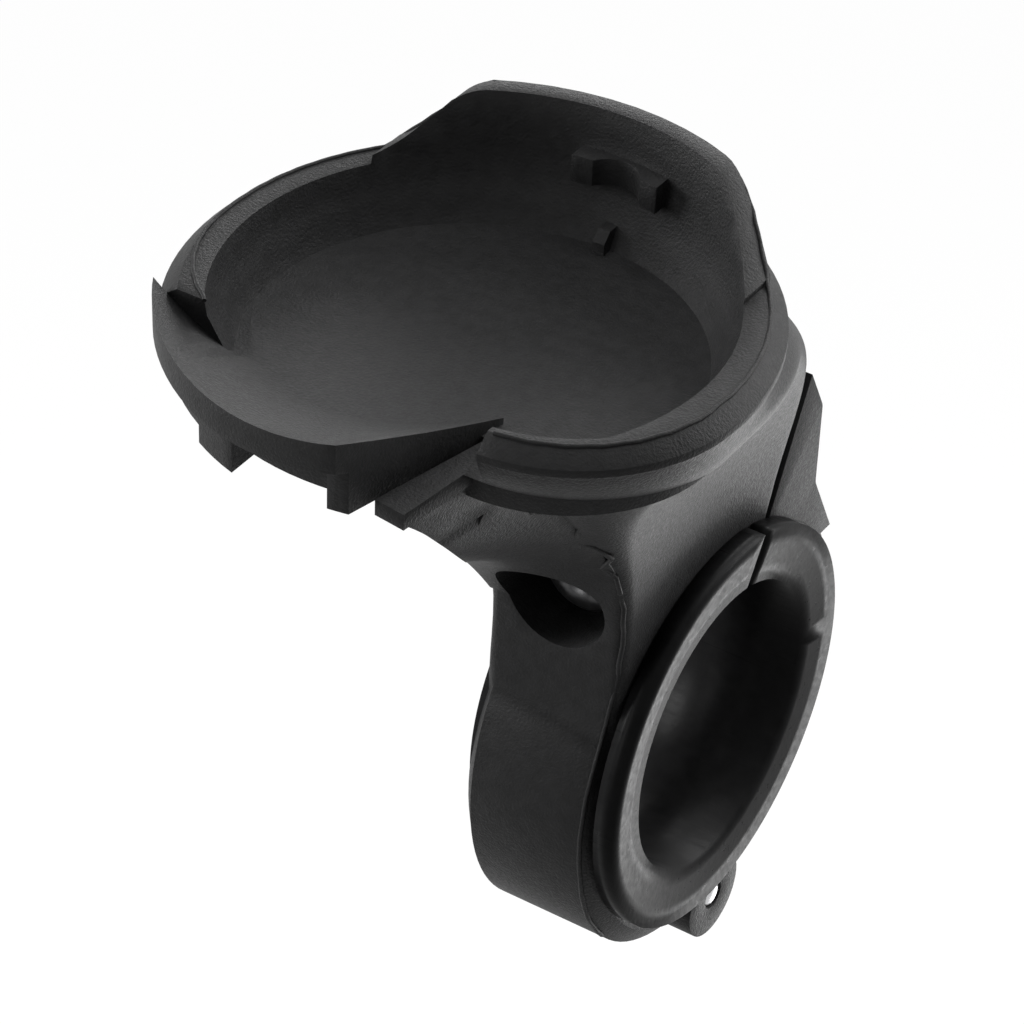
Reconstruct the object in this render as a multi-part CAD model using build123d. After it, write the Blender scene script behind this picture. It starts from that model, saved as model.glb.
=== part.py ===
from build123d import *
import os
from math import atan2, cos, degrees, hypot, radians, sin, tan

os.makedirs("parts", exist_ok=True)

# A clamp-on handlebar mount for a bicycle computer, moulded in black plastic.
# A round tray on a flared neck takes the computer, and a hinged clamp with a
# flanged rubber sleeve holds the bar.
# Origin: centre of the bar. X runs along the bar, -Y is the side with the
# screw head and the release tongue, and Z is up, square to the tray floor.

# Bar, sleeve and clamp band
BAR_D = 25.4
SLEEVE_WALL = 3.2
SLEEVE_HALF = 8.2
FLANGE_WALL = 1.8
FLANGE_DISH = 0.6
SLIT_W = 0.8
SLIT_ANGLE = 76.0
SEAT_CLEAR = 0.05
JAW_CLEAR = 0.3
BAND_R = 19.7
BAND_Y = 2.1
BAND_Z = -2.2
BAND_HALF = 6.4
BAND_BEVEL_X = 1.25
BAND_BEVEL_R = 1.6

# Split between the cradle and the jaw, seen from the side
SEAM_ANGLE = 64.0
SEAM_GAP = 0.6

# Hinge
PIN_D = 2.5
PIN_Y = 3.4
PIN_Z = -21.8
PIN_CLEAR = 0.04
PIN_INSET = 0.4
KNUCKLE_R = 3.9
KNUCKLE_CLEAR = 0.35
TONGUE_HALF = 3.2
FORK_CLEAR = 0.2
FORK_HALF = 6.4

# Jaw ear, which holds the nut: heights count from the screw's axis
EAR_HALF = 6.3
EAR_CORNER_R = 3.4
EAR_WALL = 1.3
EAR_TOP = 10.2
EAR_TOP_SLOPE = 3.6
EAR_SHOULDER = 3.6
EAR_WAIST = -4.2
EAR_FOOT = -10.6
EAR_FOOT_OUT = 3.4
EAR_ROUND = 1.2

# Clamp screw and nut
SCREW_Z = 18.8
SCREW_D = 4.0
SCREW_CORE_D = 3.3
SCREW_TIP_Y = 14.6
SCREW_PLAIN = 9.0
SCREW_HOLE_CLEAR = 0.3
HEAD_D = 7.0
HEAD_H = 4.0
HEAD_SEAT_Y = -6.8
HEX_AF = 3.0
HEX_DEPTH = 2.2
COUNTERBORE_D = 9.1
NUT_AF = 7.0
NUT_T = 3.2
NUT_BACK_Y = 14.4
NUT_CLEAR = 0.1
NUT_BORE_CLEAR = 0.1

# Tray, measured from the middle of its floor
TRAY_Y = -27.3
FLOOR_Z = 49.0
FLOOR_R = 16.8
FLOOR_T = 2.4
SKIRT_R = 18.6
SKIRT_H = 3.5
WALL_TOP_R = 19.8
TRAY_R = 22.0
RIM_H = 4.7
BACK_H = 9.8
BACK_TOP_LEFT = 11.4
BACK_TOP_RIGHT = 9.9
BACK_FOOT_HALF = 15.8
BACK_TOP_ROUND = 3.0
BACK_FOOT_ROUND = 6.0
SHOULDER_W = 1.3
SHOULDER_DROP = 1.1
BACK_INSET = 1.0
RIM_FOOT = 3.0
FLOOR_EDGE = 2.6

# Open front of the tray: the rim's corner, the tongue's slot and the strip
FRONT_Y = -14.2
FRONT_CORNER_R = 13.2
FRONT_WALL = 1.8
RIM_END_X = 9.6
SLOT_W = 0.5
SLOT_INNER = (6.3, -8.1)
SLOT_OUTER = (3.5, -20.6)
STRIP_INNER_X = 8.3
STRIP_OUTER_X = 6.85
STRIP_END_Y = -18.6
STRIP_END_SLOPE = 0.9
STRIP_T = 1.3
SEAM_Y = -11.3
WALL_END_X = -13.0

# Release tongue: its crescent lip and the ribs and thumb block under it
LIP_X = -1.0
LIP_R = 21.6
LIP_TOP = 8.0
LIP_T = 2.1
TROUGH_R = 25.4
TROUGH_X = -5.0
TROUGH_TILT = 25.7
TROUGH_TURN = 6.3
RAMP_START_Y = -11.7
RAMP_BACK_Y = -6.0
BLOCK_R = 20.5
BLOCK_DEPTH = 0.6
BLOCK_LEFT_X = 1.8
RECESS_R = 19.6
RECESS_RISE = 0.3
RIB_GAP_X = -5.4
RIB_GAP_W = 1.1
RIB_LEFT_X = -10.4
RIB_DEPTH = 1.5

# Catch on the back wall and locating fin on the skirt
CATCH_X = 0.7
CATCH_W = 7.4
CATCH_Z = 4.4
CATCH_H = 2.2
CATCH_OUT = 1.1
CATCH_SCALLOP_R = 2.3
FIN_X = 0.4
FIN_W = 1.0
FIN_Y = 15.9
FIN_BACK_Y = 19.4
FIN_H = 1.7
FIN_CUT = 0.8

# Neck: height, half width, front, back, front and back corner radius of its sections
NECK_SECTIONS = (
    (0.0, 6.1, -16.2, 8.0, 1.2, 2.6),
    (10.0, 6.2, -14.6, 9.0, 1.2, 2.6),
    (18.0, 6.4, -14.4, 10.0, 1.2, 2.8),
    (25.0, 7.4, -16.8, 11.4, 1.6, 3.6),
    (32.0, 9.4, -21.8, 10.2, 2.6, 5.5),
    (39.0, 13.2, -27.6, 4.4, 5.6, 9.0),
    (44.5, TRAY_R - 4.0, -33.4, TRAY_Y + TRAY_R + 3.4, 9.8, 14.0),
    (FLOOR_Z, TRAY_R - 1.3, TRAY_Y + FRONT_Y + 1.7, TRAY_Y + TRAY_R - 0.9,
     FRONT_CORNER_R - 0.2, TRAY_R - 2.3),
    (FLOOR_Z + RIM_FOOT + 0.2, TRAY_R - 0.25, TRAY_Y + FRONT_Y, TRAY_Y + TRAY_R - 0.2,
     FRONT_CORNER_R, TRAY_R - 0.6),
)

# Twisted web from the neck's front up to the strip: height, then where its
# face leaves the neck and where its free edge is
WEB_SECTIONS = (
    (17.2, 5.9, -13.9, -6.0, -14.4),
    (21.0, 6.3, -14.7, -5.8, -17.3),
    (25.0, 6.7, -16.6, -4.0, -21.3),
    (30.0, 7.1, -20.2, -0.3, -26.9),
    (36.0, 7.2, -24.7, 3.4, -33.4),
    (42.0, 7.4, -30.2, 5.5, -39.4),
    (FLOOR_Z - 1.0, 7.9, TRAY_Y - 8.7, 6.4, TRAY_Y - 18.5),
)
WEB_T = 1.8
WEB_ROOT = 1.2

# Values that follow from the ones above
BAR_R = BAR_D / 2
SEAT_R = BAR_R + SLEEVE_WALL
FLANGE_R = SEAT_R + FLANGE_WALL
FORK_GAP_HALF = TONGUE_HALF + FORK_CLEAR
HINGE_ANGLE = degrees(atan2(PIN_Z, PIN_Y))
TROUGH_Z = TROUGH_R / cos(radians(TROUGH_TILT)) + RAMP_START_Y * tan(radians(TROUGH_TILT))
REACH = 80.0
TRAY = Location((0, TRAY_Y, FLOOR_Z))


def x_bar(radius, x0, x1, y=0.0, z=0.0):
    """A round bar along X from x0 to x1."""
    middle = Location(((x0 + x1) / 2, y, z))
    return middle * (Rotation(0, 90, 0) * Cylinder(radius, x1 - x0))


def y_bar(radius, y0, y1, z=0.0):
    """A round bar along Y from y0 to y1."""
    middle = Location((0, (y0 + y1) / 2, z))
    return middle * (Rotation(90, 0, 0) * Cylinder(radius, y1 - y0))


def block(x0, x1, y0, y1, z0, z1):
    """A box between two corners."""
    middle = Location(((x0 + x1) / 2, (y0 + y1) / 2, (z0 + z1) / 2))
    return middle * Box(x1 - x0, y1 - y0, z1 - z0)


def disc(radius, z0, z1):
    """An upright round bar from z0 to z1."""
    return Location((0, 0, (z0 + z1) / 2)) * Cylinder(radius, z1 - z0)


def half_space(angle, gap):
    """What lies past the ray at this side-view angle, on its clockwise side."""
    far = Location((0, 0, -REACH / 2 - gap)) * Box(REACH, 2 * REACH, REACH)
    return Rotation(angle, 0, 0) * far


def jaw_wedge(gap):
    """The sector of the clamp that belongs to the jaw, less a gap all round."""
    below_seam = half_space(SEAM_ANGLE, gap)
    above_hinge = half_space(HINGE_ANGLE - 180, gap)
    return below_seam & above_hinge


def band():
    """The clamp band before it is split: an eccentric ring with bevelled edges."""
    ring = x_bar(BAND_R, -BAND_HALF, BAND_HALF, BAND_Y, BAND_Z)
    rims = ring.edges().filter_by(GeomType.CIRCLE)
    side = ring.faces().filter_by(GeomType.CYLINDER)[0]
    return chamfer(rims, BAND_BEVEL_X, BAND_BEVEL_R, reference=side)


def neck_plan(half, front, back, front_r, back_r):
    """One level section of the neck, with its own rounding in front and behind."""
    plan = Location((0, (front + back) / 2)) * Rectangle(2 * half, back - front)
    plan = fillet(plan.vertices().group_by(Axis.Y)[0], front_r)
    return fillet(plan.vertices().group_by(Axis.Y)[-1], back_r)


def neck():
    """The flared neck from the clamp up to the tray's rim."""
    sections = []
    for z, half, front, back, front_r, back_r in NECK_SECTIONS:
        sections.append(Location((0, 0, z)) * neck_plan(half, front, back, front_r, back_r))
    return loft(sections)


def web():
    """The twisted wall that carries the strip, of even thickness."""
    sections = []
    for z, root_x, root_y, edge_x, edge_y in WEB_SECTIONS:
        run = hypot(root_x - edge_x, root_y - edge_y)
        along = Vector((root_x - edge_x) / run, (root_y - edge_y) / run)
        behind = Vector(-along.Y, along.X) * WEB_T
        edge = Vector(edge_x, edge_y)
        root = Vector(root_x, root_y)
        inside = Vector(0, WEB_ROOT)
        outline = Polyline(edge, root, root + inside, edge + behind, close=True)
        sections.append(Location((0, 0, z)) * make_face(outline))
    return loft(sections, ruled=False)


def plan_outline(inset):
    """The tray seen from above, round with a straight front and a round corner."""
    radius = TRAY_R - inset
    front = FRONT_Y + inset
    plan = Circle(radius) & (
        Location((0, front + REACH / 2)) * Rectangle(REACH, REACH)
    )
    corners = plan.vertices().sort_by(Axis.X)
    return fillet(corners[-1], FRONT_CORNER_R - inset / 2)


def above_rim():
    """Everything above the rim, which steps up to the tall back wall."""
    outline = Polyline(
        (-REACH, RIM_H),
        (-BACK_FOOT_HALF, RIM_H),
        (-BACK_TOP_LEFT, BACK_H),
        (BACK_TOP_RIGHT, BACK_H),
        (BACK_FOOT_HALF, RIM_H),
        (REACH, RIM_H),
        (REACH, REACH),
        (-REACH, REACH),
        close=True,
    )
    face = make_face(outline)
    feet = face.vertices().filter_by_position(Axis.Y, RIM_H - 0.1, RIM_H + 0.1)
    feet = feet.filter_by_position(Axis.X, -REACH / 2, REACH / 2)
    face = fillet(feet, BACK_FOOT_ROUND)
    tops = face.vertices().filter_by_position(Axis.Y, BACK_H - 0.1, BACK_H + 0.1)
    face = fillet(tops, BACK_TOP_ROUND)
    back = extrude(Plane.XZ * face, amount=-REACH)
    front = block(-REACH, REACH, -REACH, 0, RIM_H, REACH)
    return back + front


def cavity():
    """The space in the tray: a flared skirt, then the wall, behind the straight front."""
    profile = Polyline(
        (0, 0),
        (FLOOR_R, 0),
        (SKIRT_R, SKIRT_H),
        (WALL_TOP_R, BACK_H + 2),
        (0, BACK_H + 2),
        close=True,
    )
    space = revolve(Plane.XZ * make_face(profile), Axis.Z)
    return space & extrude(plan_outline(FRONT_WALL), BACK_H + 2)


def wall_block():
    """The rim with its sloped shoulder, and the tall back wall that rises from it."""
    slope = degrees(atan2(SHOULDER_W, SHOULDER_DROP))
    shoulder_foot = RIM_H - SHOULDER_DROP
    lower = Location((0, 0, RIM_FOOT)) * plan_outline(0)
    upper = Location((0, 0, shoulder_foot)) * plan_outline(0)
    ring = extrude(lower, shoulder_foot - RIM_FOOT) + extrude(upper, SHOULDER_DROP, taper=slope)
    tall = Location((0, 0, RIM_FOOT)) * extrude(plan_outline(BACK_INSET), BACK_H - RIM_FOOT)
    tall &= block(-BACK_FOOT_HALF, BACK_FOOT_HALF, 0, REACH, 0, REACH)
    return ring + (tall - above_rim())


def tray_shell():
    """The tray's floor and wall."""
    floor = Location((0, 0, -FLOOR_T)) * extrude(plan_outline(FLOOR_EDGE), FLOOR_T)
    return floor + wall_block() - cavity()


def left_of_slot(gap):
    """Everything on the tongue's side of the slot."""
    run = (SLOT_OUTER[0] - SLOT_INNER[0], SLOT_OUTER[1] - SLOT_INNER[1])
    heading = degrees(atan2(run[1], run[0]))
    far = Location((0, -REACH / 2 - gap)) * Box(2 * REACH, REACH, REACH)
    return Location((SLOT_INNER[0], SLOT_INNER[1], 0)) * (Rotation(0, 0, heading) * far)


def trough(radius):
    """A tilted round bar whose underside is the hollow ramp of the lip."""
    turn = radians(TROUGH_TURN)
    tilt = radians(TROUGH_TILT)
    heading = (sin(turn) * cos(tilt), -cos(turn) * cos(tilt), sin(tilt))
    return Plane(origin=(TROUGH_X, 0, TROUGH_Z), z_dir=heading) * Cylinder(radius, 2 * REACH)


def tongue():
    """The release tongue: a hollowed crescent lip over ribs and a thumb block."""
    start = block(-REACH, REACH, -REACH, RAMP_BACK_Y, -REACH, REACH)
    plan = Location((LIP_X, 0, 0))
    lip = plan * disc(LIP_R, -FLOOR_T, LIP_TOP) & (trough(TROUGH_R + LIP_T) - trough(TROUGH_R))
    under = plan * disc(BLOCK_R, -RIB_DEPTH, LIP_TOP) - trough(TROUGH_R + LIP_T / 2)
    recess = block(RIB_GAP_X, BLOCK_LEFT_X, -REACH, -RECESS_R + 5, -REACH, LIP_TOP)
    recess -= plan * disc(RECESS_R, RECESS_RISE, LIP_TOP + 1)
    gap = block(RIB_GAP_X - RIB_GAP_W, RIB_GAP_X, -REACH, -LIP_R + 6, -REACH, LIP_TOP)
    left = block(-REACH, RIB_LEFT_X, -REACH, REACH, -REACH, 0)
    low = block(BLOCK_LEFT_X, REACH, -REACH, REACH, -REACH, -BLOCK_DEPTH)
    under = under - recess - gap - left - low
    start -= block(-REACH, WALL_END_X, SEAM_Y, REACH, 0, REACH)
    return (lip + under) & start & left_of_slot(SLOT_W / 2)


def open_front():
    """What is cut from the rim and the neck's top so that the tongue can bend."""
    return block(-REACH, RIM_END_X, -REACH, SEAM_Y, 0, REACH)


def slot():
    """The straight slot beside the tongue, with a round inner end."""
    length = hypot(SLOT_OUTER[0] - SLOT_INNER[0], SLOT_OUTER[1] - SLOT_INNER[1]) + 5
    heading = degrees(atan2(SLOT_OUTER[1] - SLOT_INNER[1], SLOT_OUTER[0] - SLOT_INNER[0]))
    cut = Location((length / 2, 0, 0)) * Box(length, SLOT_W, REACH / 4)
    return Location((SLOT_INNER[0], SLOT_INNER[1], 0)) * (Rotation(0, 0, heading) * cut)


def strip():
    """The floor's strip that runs out between the slot and the neck."""
    outline = Polyline(
        (0, RAMP_BACK_Y),
        (STRIP_INNER_X, RAMP_BACK_Y),
        (STRIP_OUTER_X, STRIP_END_Y),
        (0, STRIP_END_Y + STRIP_END_SLOPE),
        close=True,
    )
    reach = extrude(make_face(outline), -STRIP_T)
    return reach - left_of_slot(0)


def catch():
    """The catch on the back wall, with a scalloped front."""
    left = CATCH_X - CATCH_W / 2
    ledge = block(left, left + CATCH_W, 0, TRAY_R - 0.5, CATCH_Z, CATCH_Z + CATCH_H)
    ledge -= disc(SKIRT_R - CATCH_OUT, 0, BACK_H)
    scallop_y = SKIRT_R - CATCH_OUT - CATCH_SCALLOP_R / 2
    scallop = disc(CATCH_SCALLOP_R, 0, BACK_H)
    return ledge - Location((CATCH_X, scallop_y, 0)) * scallop


def fin():
    """The small locating fin on the skirt."""
    left = FIN_X - FIN_W / 2
    blade = block(left, left + FIN_W, FIN_Y, FIN_BACK_Y, -0.5, FIN_H)
    edge = blade.edges().filter_by(Axis.X).sort_by(Axis.Z)[-2:].sort_by(Axis.Y)[0]
    return chamfer(edge, FIN_CUT)


def head():
    """The neck, web and tray, all in the tray's own place."""
    shell = tray_shell() - open_front() + tongue() + strip()
    carrier = neck() + web()
    carrier -= TRAY * (cavity() + open_front())
    return carrier + TRAY * (shell + catch() + fin()) - TRAY * slot()


def screw_tunnel(radius, y0, y1):
    """A bore on the screw's axis."""
    return y_bar(radius, y0, y1, SCREW_Z)


def build_cradle():
    """Tray, neck and front half of the clamp, one moulding."""
    clamp = band() - jaw_wedge(-SEAM_GAP / 2)
    clamp -= x_bar(KNUCKLE_R + KNUCKLE_CLEAR, -FORK_GAP_HALF, FORK_GAP_HALF, PIN_Y, PIN_Z)
    body = clamp + (head() - half_space(SEAM_ANGLE, -SEAM_GAP / 2))
    for side in (-1, 1):
        ends = sorted((side * FORK_GAP_HALF, side * FORK_HALF))
        body += x_bar(KNUCKLE_R, ends[0], ends[1], PIN_Y, PIN_Z)
    body -= x_bar(SEAT_R + SEAT_CLEAR, -REACH, REACH)
    body -= x_bar(PIN_D / 2 + PIN_CLEAR, -REACH, REACH, PIN_Y, PIN_Z)
    body -= screw_tunnel(SCREW_D / 2 + SCREW_HOLE_CLEAR, -REACH / 2, REACH / 2)
    return body - screw_tunnel(COUNTERBORE_D / 2, -REACH / 2, HEAD_SEAT_Y)


def ear():
    """The jaw's ear, rounded along its outer edges."""
    back = NUT_BACK_Y + EAR_WALL
    outline = Polyline(
        (0, SCREW_Z + EAR_FOOT),
        (0, SCREW_Z + EAR_TOP),
        (back - EAR_TOP_SLOPE, SCREW_Z + EAR_TOP),
        (back, SCREW_Z + EAR_SHOULDER),
        (back, SCREW_Z + EAR_WAIST),
        (back + EAR_FOOT_OUT, SCREW_Z + EAR_FOOT),
        close=True,
    )
    side = make_face(outline)
    side = fillet(side.vertices().sort_by(Axis.X)[2:5], EAR_ROUND)
    plan_back = back + EAR_FOOT_OUT
    plan = RectangleRounded(2 * EAR_HALF, 2 * plan_back, EAR_CORNER_R)
    return extrude(Plane.YZ * side, amount=EAR_HALF, both=True) & extrude(plan, REACH)


def build_jaw():
    """The rear jaw: half of the band, an ear with a nut pocket and a hinge tongue."""
    jaw = band() + ear()
    jaw &= jaw_wedge(SEAM_GAP / 2)
    for side in (-1, 1):
        ends = sorted((side * TONGUE_HALF, side * REACH))
        jaw -= x_bar(KNUCKLE_R + KNUCKLE_CLEAR, ends[0], ends[1], PIN_Y, PIN_Z)
    jaw += x_bar(KNUCKLE_R, -TONGUE_HALF, TONGUE_HALF, PIN_Y, PIN_Z)
    jaw -= x_bar(SEAT_R + JAW_CLEAR, -REACH, REACH)
    jaw -= x_bar(PIN_D / 2 + PIN_CLEAR, -REACH, REACH, PIN_Y, PIN_Z)
    jaw -= screw_tunnel(SCREW_D / 2 + SCREW_HOLE_CLEAR, 0, REACH / 2)
    return jaw - hex_bar(NUT_AF + 2 * NUT_CLEAR, NUT_BACK_Y - NUT_T, REACH / 2)


def hex_bar(across_flats, y0, y1):
    """A hexagonal bar on the screw's axis."""
    flat = RegularPolygon(across_flats / 2, 6, major_radius=False)
    bar = extrude(Plane.XZ * flat, amount=-(y1 - y0))
    return Location((0, y0, SCREW_Z)) * bar


def build_screw():
    """Socket-head clamp screw, its threaded end drawn at the thread's core."""
    head_y = HEAD_SEAT_Y - HEAD_H
    head = screw_tunnel(HEAD_D / 2, head_y, HEAD_SEAT_Y)
    head = chamfer(head.edges().filter_by(GeomType.CIRCLE).sort_by(Axis.Y)[0], 0.4)
    head -= hex_bar(HEX_AF, head_y, head_y + HEX_DEPTH)
    plain_end = HEAD_SEAT_Y + SCREW_PLAIN
    plain = screw_tunnel(SCREW_D / 2, HEAD_SEAT_Y, plain_end)
    core = screw_tunnel(SCREW_CORE_D / 2, plain_end, SCREW_TIP_Y)
    core = chamfer(core.edges().filter_by(GeomType.CIRCLE).sort_by(Axis.Y)[-1], 0.4)
    return head + plain + core


def build_nut():
    """Hexagon nut held in the jaw's pocket."""
    nut = hex_bar(NUT_AF, NUT_BACK_Y - NUT_T, NUT_BACK_Y)
    return nut - screw_tunnel(SCREW_D / 2 + NUT_BORE_CLEAR, 0, REACH / 2)


def build_pin():
    """Hinge pin with broken edges, slightly below the fork's faces."""
    pin = x_bar(PIN_D / 2, PIN_INSET - FORK_HALF, FORK_HALF - PIN_INSET, PIN_Y, PIN_Z)
    return chamfer(pin.edges().filter_by(GeomType.CIRCLE), 0.2)


def build_sleeve():
    """Split rubber sleeve with a dished flange on the open side of the clamp."""
    step = BAND_HALF + SEAT_CLEAR
    profile = Polyline(
        (SLEEVE_HALF - FLANGE_DISH, BAR_R),
        (SLEEVE_HALF, FLANGE_R),
        (step, FLANGE_R),
        (step, SEAT_R),
        (-BAND_HALF, SEAT_R),
        (-BAND_HALF, BAR_R),
        close=True,
    )
    sleeve = revolve(make_face(profile), Axis.X)
    slit = Location((0, 0, REACH / 2)) * Box(REACH, SLIT_W, REACH)
    return sleeve - Rotation(SLIT_ANGLE - 90, 0, 0) * slit


def save(shape, name):
    """Write one sub-part."""
    shape.label = name
    export_step(shape, "parts/" + name + ".step")


save(build_cradle(), "cradle_body")
save(build_jaw(), "clamp_jaw")
save(build_pin(), "hinge_pin")
save(build_screw(), "clamp_screw")
save(build_nut(), "clamp_nut")
save(build_sleeve(), "bar_sleeve")
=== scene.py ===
from math import cos, radians, sin

import bpy
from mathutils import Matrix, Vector


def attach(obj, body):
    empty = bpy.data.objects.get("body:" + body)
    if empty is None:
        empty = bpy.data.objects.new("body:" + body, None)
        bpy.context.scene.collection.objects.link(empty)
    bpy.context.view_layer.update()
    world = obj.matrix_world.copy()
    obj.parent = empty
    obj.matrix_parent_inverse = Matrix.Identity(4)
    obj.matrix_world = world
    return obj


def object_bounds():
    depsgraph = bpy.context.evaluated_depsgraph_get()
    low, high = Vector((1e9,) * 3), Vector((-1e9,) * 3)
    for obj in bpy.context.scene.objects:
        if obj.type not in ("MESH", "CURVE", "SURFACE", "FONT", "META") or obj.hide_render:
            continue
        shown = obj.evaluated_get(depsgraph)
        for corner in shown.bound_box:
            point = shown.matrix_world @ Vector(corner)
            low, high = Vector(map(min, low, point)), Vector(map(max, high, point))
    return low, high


# A clamp-on handlebar mount for a bicycle computer in black moulded plastic.
# Everything is in metres. The origin is the centre of the bar, X runs along the
# bar, -Y is the screw's side and Z is up, square to the tray's floor.

# The photograph's camera
CAMERA_PLACE = (0.12523, -0.22298, 0.20842)
CAMERA_TURN = (53.257, -1.752, 33.138)
LENS_MM = 140.62
SENSOR_MM = 36.0

# How far the moulded parts' sharp edges are rounded, and from what angle an edge is sharp
EDGE_ROUND = 0.00022
SHARP_DEGREES = 34
MERGE_DISTANCE = 0.000002

# The raised bead along the rim's shoulder
TRAY_CENTRE_Y = -0.0273
RIM_BEAD = 0.00017
RIM_BEAD_R = 0.0207
WALL_BEAD_R = 0.0210
RIM_TOP = 0.0537
WALL_TOP = 0.0588
WALL_LEFT = (-0.0160, -0.0106)
WALL_RIGHT = (0.0092, 0.0160)
WALL_DEGREES = (20, 160)
CORNER_X = 0.0088
CORNER_Y = -0.0283
CORNER_R = 0.0119
RIM_START_DEGREES = -84
RIM_END_DEGREES = 240

# The ridge down the near edge of the neck and the band
RIDGE_BEAD = 0.0002
RIDGE_LINE = (
    (0.0076, -0.0341, 0.0450),
    (0.0072, -0.0266, 0.0378),
    (0.0071, -0.0207, 0.0307),
    (0.0068, -0.0171, 0.0256),
    (0.0064, -0.0149, 0.0210),
    (0.0062, -0.0144, 0.0170),
    (0.0056, -0.0141, 0.0120),
    (0.0052, -0.0150, 0.0075),
    (0.0052, -0.0170, 0.0027),
    (0.0052, -0.0176, -0.0012),
    (0.0052, -0.0175, -0.0038),
    (0.0052, -0.0164, -0.0089),
    (0.0052, -0.0154, -0.0113),
    (0.0052, -0.0132, -0.0145),
)

# The clamp screw's thread
SCREW_HEIGHT = 0.0188
THREAD_FROM = 0.0024
THREAD_TO = 0.0143
THREAD_PITCH = 0.0007
THREAD_ROOT_R = 0.00160
THREAD_CREST_R = 0.00195
THREAD_SINK = 0.0001
THREAD_HALF_WIDTH = 0.42
THREAD_STEPS = 20

# The domed end of the hinge pin
PIN_PLACE = (0.0034, -0.0218)
PIN_DOME_R = 0.00122
PIN_DOME_X = 0.0058
PIN_DOME_VERTICES = 32
PIN_DOME_RINGS = ((0.00025, 0.98), (0.00018, 0.86), (0.00012, 0.66), (0.00006, 0.36))

# Studio
FLOOR_BELOW = 0.235
FLOOR_SIZE = 3.0
BACKGROUND = (1.0, 1.0, 1.0, 1.0)
ROOM_LIGHT = 0.01
PAPER = (0.7, 0.7, 0.7, 1.0)
FLOOR_GLOW = 1.06
FLOOR_GLOW_SHARE = 0.92
LAMP_AIM = Vector((0.0, -0.015, 0.02))
LAMP_REACH = 0.34
LAMP_SIZE = 0.15


def deselect():
    """Leave nothing selected."""
    bpy.ops.object.select_all(action="DESELECT")


def only(piece):
    """Select one object and make it the active one."""
    deselect()
    piece.select_set(True)
    bpy.context.view_layer.objects.active = piece


def soften(piece, width):
    """Round a CAD piece's sharp edges a little and shade it smooth."""
    weld = piece.modifiers.new("weld", "WELD")
    weld.merge_threshold = MERGE_DISTANCE
    if width:
        bevel = piece.modifiers.new("edge_round", "BEVEL")
        bevel.width = width
        bevel.segments = 2
        bevel.limit_method = "ANGLE"
        bevel.angle_limit = radians(SHARP_DEGREES)
        bevel.use_clamp_overlap = True
    only(piece)
    bpy.ops.object.shade_smooth_by_angle(angle=radians(SHARP_DEGREES))


class Finish:
    """A node material with small helpers, so each finish below reads top to bottom."""

    def __init__(self, name):
        self.material = bpy.data.materials.new(name)
        self.material.use_nodes = True
        self.nodes = self.material.node_tree.nodes
        self.links = self.material.node_tree.links
        self.shader = self.nodes["Principled BSDF"]
        self.place = self.nodes.new("ShaderNodeTexCoord").outputs["Object"]
        self.last_bump = None

    def set(self, **values):
        for name, value in values.items():
            self.shader.inputs[name.replace("_", " ").title()].default_value = value

    def join(self, source, target):
        self.links.new(source, target)

    def stretched(self, scale):
        """Object coordinates with their own scale along X, Y and Z."""
        node = self.nodes.new("ShaderNodeMapping")
        node.inputs["Scale"].default_value = scale
        self.join(self.place, node.inputs["Vector"])
        return node.outputs["Vector"]

    def noise(self, scale, detail=3.0, roughness=0.5, place=None):
        node = self.nodes.new("ShaderNodeTexNoise")
        node.inputs["Scale"].default_value = scale
        node.inputs["Detail"].default_value = detail
        node.inputs["Roughness"].default_value = roughness
        self.join(place or self.place, node.inputs["Vector"])
        return node.outputs["Fac"]

    def ramp(self, source, low, high, dark, pale):
        """Map a grey value to a span between two numbers."""
        node = self.nodes.new("ShaderNodeMapRange")
        node.inputs["From Min"].default_value = low
        node.inputs["From Max"].default_value = high
        node.inputs["To Min"].default_value = dark
        node.inputs["To Max"].default_value = pale
        self.join(source, node.inputs["Value"])
        return node.outputs["Result"]

    def blend(self, factor, first, second):
        """Mix two colours by a grey value."""
        node = self.nodes.new("ShaderNodeMix")
        node.data_type = "RGBA"
        node.inputs["A"].default_value = first
        node.inputs["B"].default_value = second
        self.join(factor, node.inputs["Factor"])
        return node.outputs["Result"]

    def bump(self, height, strength, distance):
        node = self.nodes.new("ShaderNodeBump")
        node.inputs["Strength"].default_value = strength
        node.inputs["Distance"].default_value = distance
        self.join(height, node.inputs["Height"])
        if self.last_bump is not None:
            self.join(self.last_bump, node.inputs["Normal"])
        self.last_bump = node.outputs["Normal"]
        self.join(self.last_bump, self.shader.inputs["Normal"])


def grained_plastic():
    """Black moulded plastic with a fine spark-eroded grain."""
    finish = Finish("grained_plastic")
    finish.set(metallic=0.0)
    finish.shader.inputs["IOR"].default_value = 1.2
    tone = finish.ramp(finish.noise(900.0, 3.0), 0.35, 0.65, 0.0, 1.0)
    colour = finish.blend(tone, (0.011, 0.011, 0.0112, 1), (0.015, 0.015, 0.0153, 1))
    finish.join(colour, finish.shader.inputs["Base Color"])
    rough = finish.ramp(finish.noise(3600.0, 2.0), 0.3, 0.7, 0.46, 0.58)
    finish.join(rough, finish.shader.inputs["Roughness"])
    finish.bump(finish.noise(4400.0, 2.5, 0.6), 0.7, 0.0001)
    return finish.material


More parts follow.
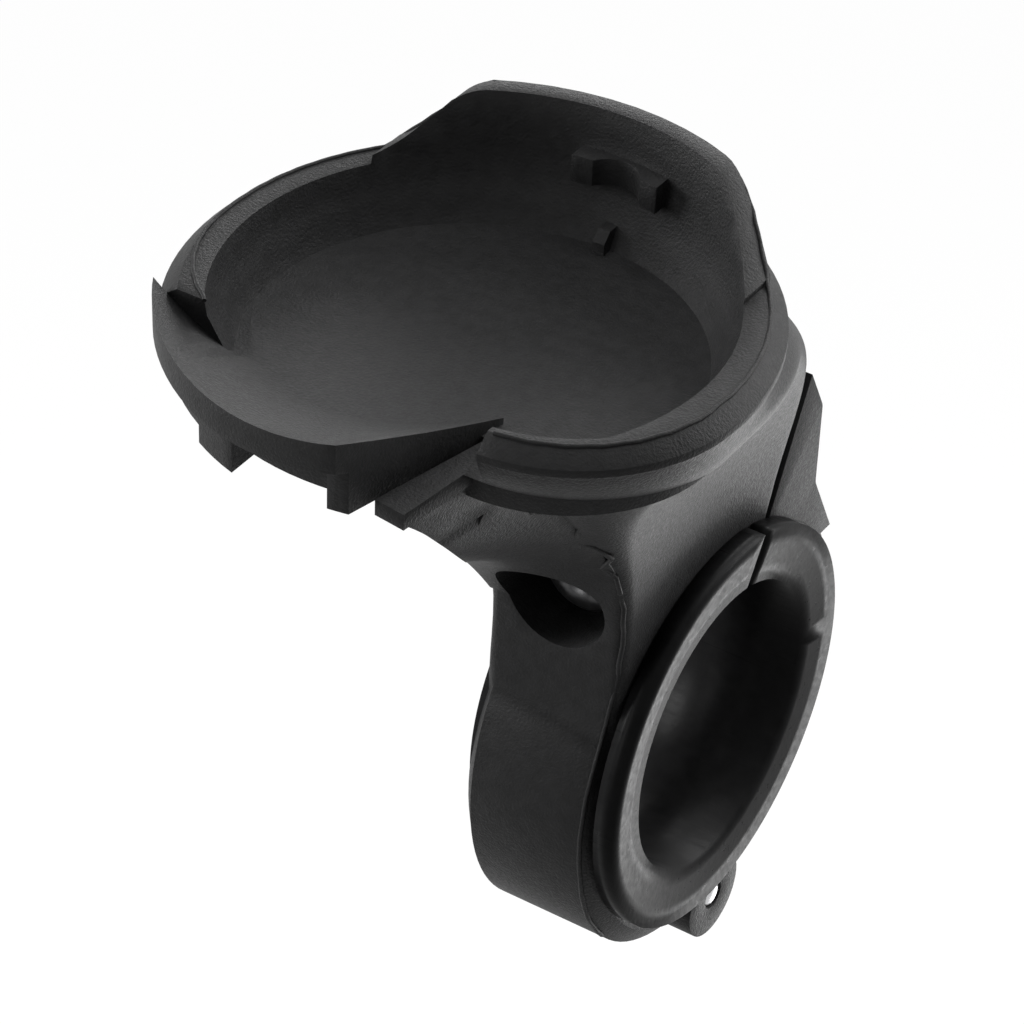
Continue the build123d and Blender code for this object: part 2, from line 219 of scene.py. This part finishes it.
def soft_rubber():
    """Smooth black rubber with faint lengthwise moulding streaks."""
    finish = Finish("soft_rubber")
    finish.set(metallic=0.0)
    finish.shader.inputs["IOR"].default_value = 1.1
    tone = finish.ramp(finish.noise(700.0, 3.0), 0.3, 0.7, 0.0, 1.0)
    colour = finish.blend(tone, (0.006, 0.006, 0.0062, 1), (0.009, 0.009, 0.0092, 1))
    finish.join(colour, finish.shader.inputs["Base Color"])
    streaks = finish.noise(1.0, 4.0, 0.6, finish.stretched((60.0, 1900.0, 1900.0)))
    rough = finish.ramp(streaks, 0.3, 0.7, 0.26, 0.42)
    finish.join(rough, finish.shader.inputs["Roughness"])
    finish.bump(streaks, 0.12, 0.00006)
    finish.bump(finish.noise(2600.0, 2.0), 0.2, 0.00004)
    return finish.material


def bright_steel():
    """Plain steel of the hinge pin and the nut."""
    finish = Finish("bright_steel")
    finish.set(metallic=1.0)
    tone = finish.noise(700.0, 3.0)
    colour = finish.blend(tone, (0.42, 0.42, 0.43, 1), (0.62, 0.62, 0.63, 1))
    finish.join(colour, finish.shader.inputs["Base Color"])
    rough = finish.ramp(finish.noise(1500.0, 3.0), 0.3, 0.7, 0.22, 0.36)
    finish.join(rough, finish.shader.inputs["Roughness"])
    finish.bump(finish.noise(2600.0, 2.0), 0.1, 0.00003)
    return finish.material


def black_steel():
    """Black-oxide steel of the socket screw, with a faint random tone."""
    finish = Finish("black_steel")
    finish.set(metallic=0.7)
    tone = finish.noise(900.0, 3.0)
    colour = finish.blend(tone, (0.03, 0.03, 0.031, 1), (0.055, 0.055, 0.056, 1))
    finish.join(colour, finish.shader.inputs["Base Color"])
    rough = finish.ramp(finish.noise(1800.0, 3.0), 0.3, 0.7, 0.28, 0.42)
    finish.join(rough, finish.shader.inputs["Roughness"])
    finish.bump(finish.noise(3200.0, 2.0), 0.12, 0.00003)
    return finish.material


def finish_nodes(nodes):
    """Give every CAD piece its finish and smooth shading."""
    plastic = grained_plastic()
    rubber = soft_rubber()
    bright = bright_steel()
    black = black_steel()
    choice = {
        "cradle_body": plastic,
        "clamp_jaw": plastic,
        "bar_sleeve": rubber,
        "hinge_pin": bright,
        "clamp_nut": bright,
        "clamp_screw": black,
    }
    for name, material in choice.items():
        piece = nodes[name]
        piece.data.materials.clear()
        piece.data.materials.append(material)
        soften(piece, EDGE_ROUND if name in ("cradle_body", "clamp_jaw") else 0.0)


def wire(name, line):
    """A wire of edges through places, drawn out from one point."""
    deselect()
    bpy.ops.mesh.primitive_plane_add(size=0.001, location=line[0])
    piece = bpy.context.active_object
    piece.name = name
    bpy.ops.object.transform_apply(location=True, rotation=False, scale=False)
    bpy.ops.object.mode_set(mode="EDIT")
    bpy.ops.mesh.select_mode(type="VERT")
    bpy.ops.mesh.select_all(action="SELECT")
    bpy.ops.mesh.merge(type="CENTER")
    for start, end in zip(line, line[1:]):
        step = [far - near for near, far in zip(start, end)]
        bpy.ops.mesh.extrude_vertices_move(TRANSFORM_OT_translate={"value": step})
    bpy.ops.mesh.select_all(action="SELECT")
    bpy.ops.mesh.subdivide(number_cuts=2, smoothness=1.0)
    bpy.ops.object.mode_set(mode="OBJECT")
    return piece


def round_bead(piece, radius, plastic):
    """Turn a wire into a closed round bead of the cradle's plastic."""
    only(piece)
    bpy.ops.object.convert(target="CURVE")
    curve = bpy.context.active_object
    curve.data.dimensions = "3D"
    curve.data.bevel_depth = radius
    curve.data.bevel_resolution = 2
    curve.data.use_fill_caps = True
    bpy.ops.object.convert(target="MESH")
    bead = bpy.context.active_object
    bpy.ops.object.mode_set(mode="EDIT")
    bpy.ops.mesh.select_all(action="SELECT")
    bpy.ops.mesh.remove_doubles(threshold=MERGE_DISTANCE)
    bpy.ops.mesh.normals_make_consistent(inside=False)
    bpy.ops.object.mode_set(mode="OBJECT")
    bpy.ops.object.shade_smooth_by_angle(angle=radians(50))
    bead.data.materials.clear()
    bead.data.materials.append(plastic)
    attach(bead, "cradle")


def crest_height(x, back):
    """The rim's height at a place: level, and rising at the back to the tall wall's crest."""
    if not back:
        return RIM_TOP
    rise = min((x - WALL_LEFT[0]) / (WALL_LEFT[1] - WALL_LEFT[0]),
               (WALL_RIGHT[1] - x) / (WALL_RIGHT[1] - WALL_RIGHT[0]))
    return RIM_TOP + (WALL_TOP - RIM_TOP) * max(0.0, min(1.0, rise))


def corner_place(turn, centre_x):
    """A place on one of the rim's two rounded front corners."""
    x = centre_x + CORNER_R * cos(radians(turn))
    return x, CORNER_Y + CORNER_R * sin(radians(turn)), RIM_TOP


def round_place(turn):
    """A place on the rim's round part, higher and wider where the tall wall stands."""
    side = cos(radians(turn))
    at_back = WALL_DEGREES[0] < turn < WALL_DEGREES[1]
    height = crest_height(RIM_BEAD_R * side, at_back)
    reach = RIM_BEAD_R + (WALL_BEAD_R - RIM_BEAD_R) * (height - RIM_TOP) / (WALL_TOP - RIM_TOP)
    return reach * side, TRAY_CENTRE_Y + reach * sin(radians(turn)), height


def rim_line():
    """Places along the rim's shoulder, from its open corner round the back to the lip."""
    right = [corner_place(turn, CORNER_X) for turn in range(RIM_START_DEGREES, 0, 12)]
    back = [round_place(turn) for turn in range(0, 181, 6)]
    left = [corner_place(turn, -CORNER_X) for turn in range(186, RIM_END_DEGREES + 1, 9)]
    return right + back + left


def rim_bead(cradle, plastic):
    """The thin bead along the rim's shoulder and the tall wall's crest."""
    piece = wire("rim_bead", rim_line())
    wrap = piece.modifiers.new("wrap", "SHRINKWRAP")
    wrap.target = cradle
    only(piece)
    bpy.ops.object.modifier_apply(modifier="wrap")
    for vertex in piece.data.vertices:
        vertex.co.z = min(vertex.co.z, WALL_TOP - 1.05 * RIM_BEAD)
    round_bead(piece, RIM_BEAD, plastic)


def ridge_bead(plastic):
    """The raised line that runs down the near edge of the neck and the band."""
    round_bead(wire("ridge_bead", RIDGE_LINE), RIDGE_BEAD, plastic)


def screw_thread(black):
    """The clamp screw's thread: one tooth of the profile, wound along the shank."""
    turns = round((THREAD_TO - THREAD_FROM) / THREAD_PITCH)
    deselect()
    bpy.ops.mesh.primitive_circle_add(vertices=3, radius=0.0003, fill_type="NGON")
    piece = bpy.context.active_object
    piece.name = "screw_thread"
    foot = THREAD_ROOT_R - THREAD_SINK
    half_width = THREAD_PITCH * THREAD_HALF_WIDTH
    corners = (
        (THREAD_CREST_R, THREAD_FROM, 0.0),
        (foot, THREAD_FROM - half_width, 0.0),
        (foot, THREAD_FROM + half_width, 0.0),
    )
    for vertex, corner in zip(piece.data.vertices, corners):
        vertex.co = corner
    winding = piece.modifiers.new("winding", "SCREW")
    winding.axis = "Y"
    winding.angle = radians(360)
    winding.screw_offset = THREAD_PITCH
    winding.iterations = turns
    winding.steps = THREAD_STEPS
    winding.render_steps = THREAD_STEPS
    winding.use_normal_calculate = True
    only(piece)
    bpy.ops.object.modifier_apply(modifier="winding")
    bpy.ops.object.mode_set(mode="EDIT")
    bpy.ops.mesh.select_all(action="SELECT")
    bpy.ops.mesh.remove_doubles(threshold=MERGE_DISTANCE)
    bpy.ops.transform.translate(value=(0.0, 0.0, SCREW_HEIGHT))
    bpy.ops.mesh.normals_make_consistent(inside=False)
    bpy.ops.object.mode_set(mode="OBJECT")
    piece.data.materials.clear()
    piece.data.materials.append(black)
    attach(piece, "screw")


def pin_dome(bright):
    """The hinge pin's slightly domed near end, built up ring by ring."""
    centre = (PIN_DOME_X, PIN_PLACE[0], PIN_PLACE[1])
    deselect()
    bpy.ops.mesh.primitive_circle_add(vertices=PIN_DOME_VERTICES, radius=PIN_DOME_R, fill_type="NGON",
                                      location=centre, rotation=(0.0, radians(90), 0.0))
    piece = bpy.context.active_object
    piece.name = "pin_dome"
    bpy.ops.object.transform_apply(location=True, rotation=True, scale=True)
    bpy.ops.object.mode_set(mode="EDIT")
    bpy.ops.mesh.select_all(action="SELECT")
    reached = 1.0
    for rise, width in PIN_DOME_RINGS:
        bpy.ops.mesh.extrude_region_move(TRANSFORM_OT_translate={"value": (rise, 0.0, 0.0)})
        narrower = width / reached
        bpy.ops.transform.resize(value=(1.0, narrower, narrower), center_override=centre)
        reached = width
    bpy.ops.mesh.select_all(action="SELECT")
    bpy.ops.mesh.normals_make_consistent(inside=False)
    bpy.ops.object.mode_set(mode="OBJECT")
    bpy.ops.object.shade_smooth_by_angle(angle=radians(40))
    piece.data.materials.clear()
    piece.data.materials.append(bright)
    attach(piece, "cradle")


def place_camera():
    """The camera, where the photograph's was."""
    data = bpy.data.cameras.new("camera")
    data.lens = LENS_MM
    data.sensor_width = SENSOR_MM
    data.clip_start = 0.01
    data.clip_end = 20.0
    camera = bpy.data.objects.new("camera", data)
    camera.location = CAMERA_PLACE
    camera.rotation_euler = [radians(turn) for turn in CAMERA_TURN]
    bpy.context.scene.collection.objects.link(camera)
    bpy.context.scene.camera = camera


def lamp(name, around, above, watts):
    """A soft square lamp in a direction from the part, in degrees from +X and from level."""
    level = cos(radians(above))
    out = Vector((cos(radians(around)) * level, sin(radians(around)) * level, sin(radians(above))))
    data = bpy.data.lights.new(name, "AREA")
    data.shape = "RECTANGLE"
    data.size = LAMP_SIZE
    data.size_y = LAMP_SIZE
    data.energy = watts
    holder = bpy.data.objects.new(name, data)
    holder.location = LAMP_AIM + out * LAMP_REACH
    holder.rotation_euler = (-out).to_track_quat("-Z", "Y").to_euler()
    holder.visible_camera = False
    bpy.context.scene.collection.objects.link(holder)


def light_studio():
    """Soft boxes behind and on both sides, and low ones for the near side faces."""
    lamp("lamp_top", 90, 80, 0.50)
    lamp("lamp_back", 80, 38, 0.75)
    lamp("lamp_right", 40, 38, 0.42)
    lamp("lamp_left", 240, 34, 0.14)
    lamp("lamp_front", 300, 62, 0.10)
    lamp("lamp_back_left", 120, 22, 0.42)
    lamp("lamp_side_left", 196, 14, 1.30)
    lamp("lamp_side_right", 54, 12, 0.75)
    lamp("lamp_low", 62, -20, 0.05)
    lamp("lamp_under", 80, -44, 0.30)
    lamp("lamp_band", 246, 12, 0.30)


def seen_directly(nodes, links):
    """One where a ray comes from the camera, from gloss or through glass, and nought elsewhere."""
    path = nodes.new("ShaderNodeLightPath")
    total = path.outputs["Is Camera Ray"]
    for kind in ("Is Glossy Ray", "Is Transmission Ray"):
        larger = nodes.new("ShaderNodeMath")
        larger.operation = "MAXIMUM"
        links.new(total, larger.inputs[0])
        links.new(path.outputs[kind], larger.inputs[1])
        total = larger.outputs["Value"]
    return total


def white_room():
    """White to the camera, to gloss and through glass, and nearly dark as light on the object."""
    world = bpy.data.worlds.new("room")
    world.use_nodes = True
    nodes = world.node_tree.nodes
    links = world.node_tree.links
    back = nodes["Background"]
    back.inputs["Color"].default_value = BACKGROUND
    level = nodes.new("ShaderNodeMapRange")
    level.inputs["To Min"].default_value = ROOM_LIGHT
    level.inputs["To Max"].default_value = 1.0
    links.new(seen_directly(nodes, links), level.inputs["Value"])
    links.new(level.outputs["Result"], back.inputs["Strength"])
    bpy.context.scene.world = world


def pale_floor(lowest):
    """A wide pale floor under the part, which shows white to the camera and keeps a faint shadow."""
    deselect()
    bpy.ops.mesh.primitive_plane_add(size=FLOOR_SIZE, location=(0, 0, lowest - FLOOR_BELOW))
    floor = bpy.context.active_object
    floor.name = "floor"
    material = bpy.data.materials.new("floor_paper")
    material.use_nodes = True
    nodes = material.node_tree.nodes
    links = material.node_tree.links
    paper = nodes["Principled BSDF"]
    paper.inputs["Base Color"].default_value = PAPER
    paper.inputs["Roughness"].default_value = 0.9
    paper.inputs["Specular IOR Level"].default_value = 0.0
    glow = nodes.new("ShaderNodeEmission")
    glow.inputs["Color"].default_value = BACKGROUND
    glow.inputs["Strength"].default_value = FLOOR_GLOW
    share = nodes.new("ShaderNodeMath")
    share.operation = "MULTIPLY"
    share.inputs[1].default_value = FLOOR_GLOW_SHARE
    links.new(seen_directly(nodes, links), share.inputs[0])
    pick = nodes.new("ShaderNodeMixShader")
    links.new(share.outputs["Value"], pick.inputs["Fac"])
    links.new(paper.outputs["BSDF"], pick.inputs[1])
    links.new(glow.outputs["Emission"], pick.inputs[2])
    links.new(pick.outputs["Shader"], nodes["Material Output"].inputs["Surface"])
    floor.data.materials.append(material)


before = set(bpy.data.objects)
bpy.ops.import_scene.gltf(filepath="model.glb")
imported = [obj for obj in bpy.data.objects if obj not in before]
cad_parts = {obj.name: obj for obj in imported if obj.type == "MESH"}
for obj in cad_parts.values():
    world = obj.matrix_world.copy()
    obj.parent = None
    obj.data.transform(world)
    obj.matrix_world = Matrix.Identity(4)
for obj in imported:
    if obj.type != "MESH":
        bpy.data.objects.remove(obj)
cad_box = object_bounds()

place_camera()
light_studio()
white_room()
pale_floor(cad_box[0][2])
finish_nodes(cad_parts)
rim_bead(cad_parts["cradle_body"], bpy.data.materials["grained_plastic"])
ridge_bead(bpy.data.materials["grained_plastic"])
screw_thread(bpy.data.materials["black_steel"])
pin_dome(bpy.data.materials["bright_steel"])

bpy.context.scene.view_settings.view_transform = "Standard"
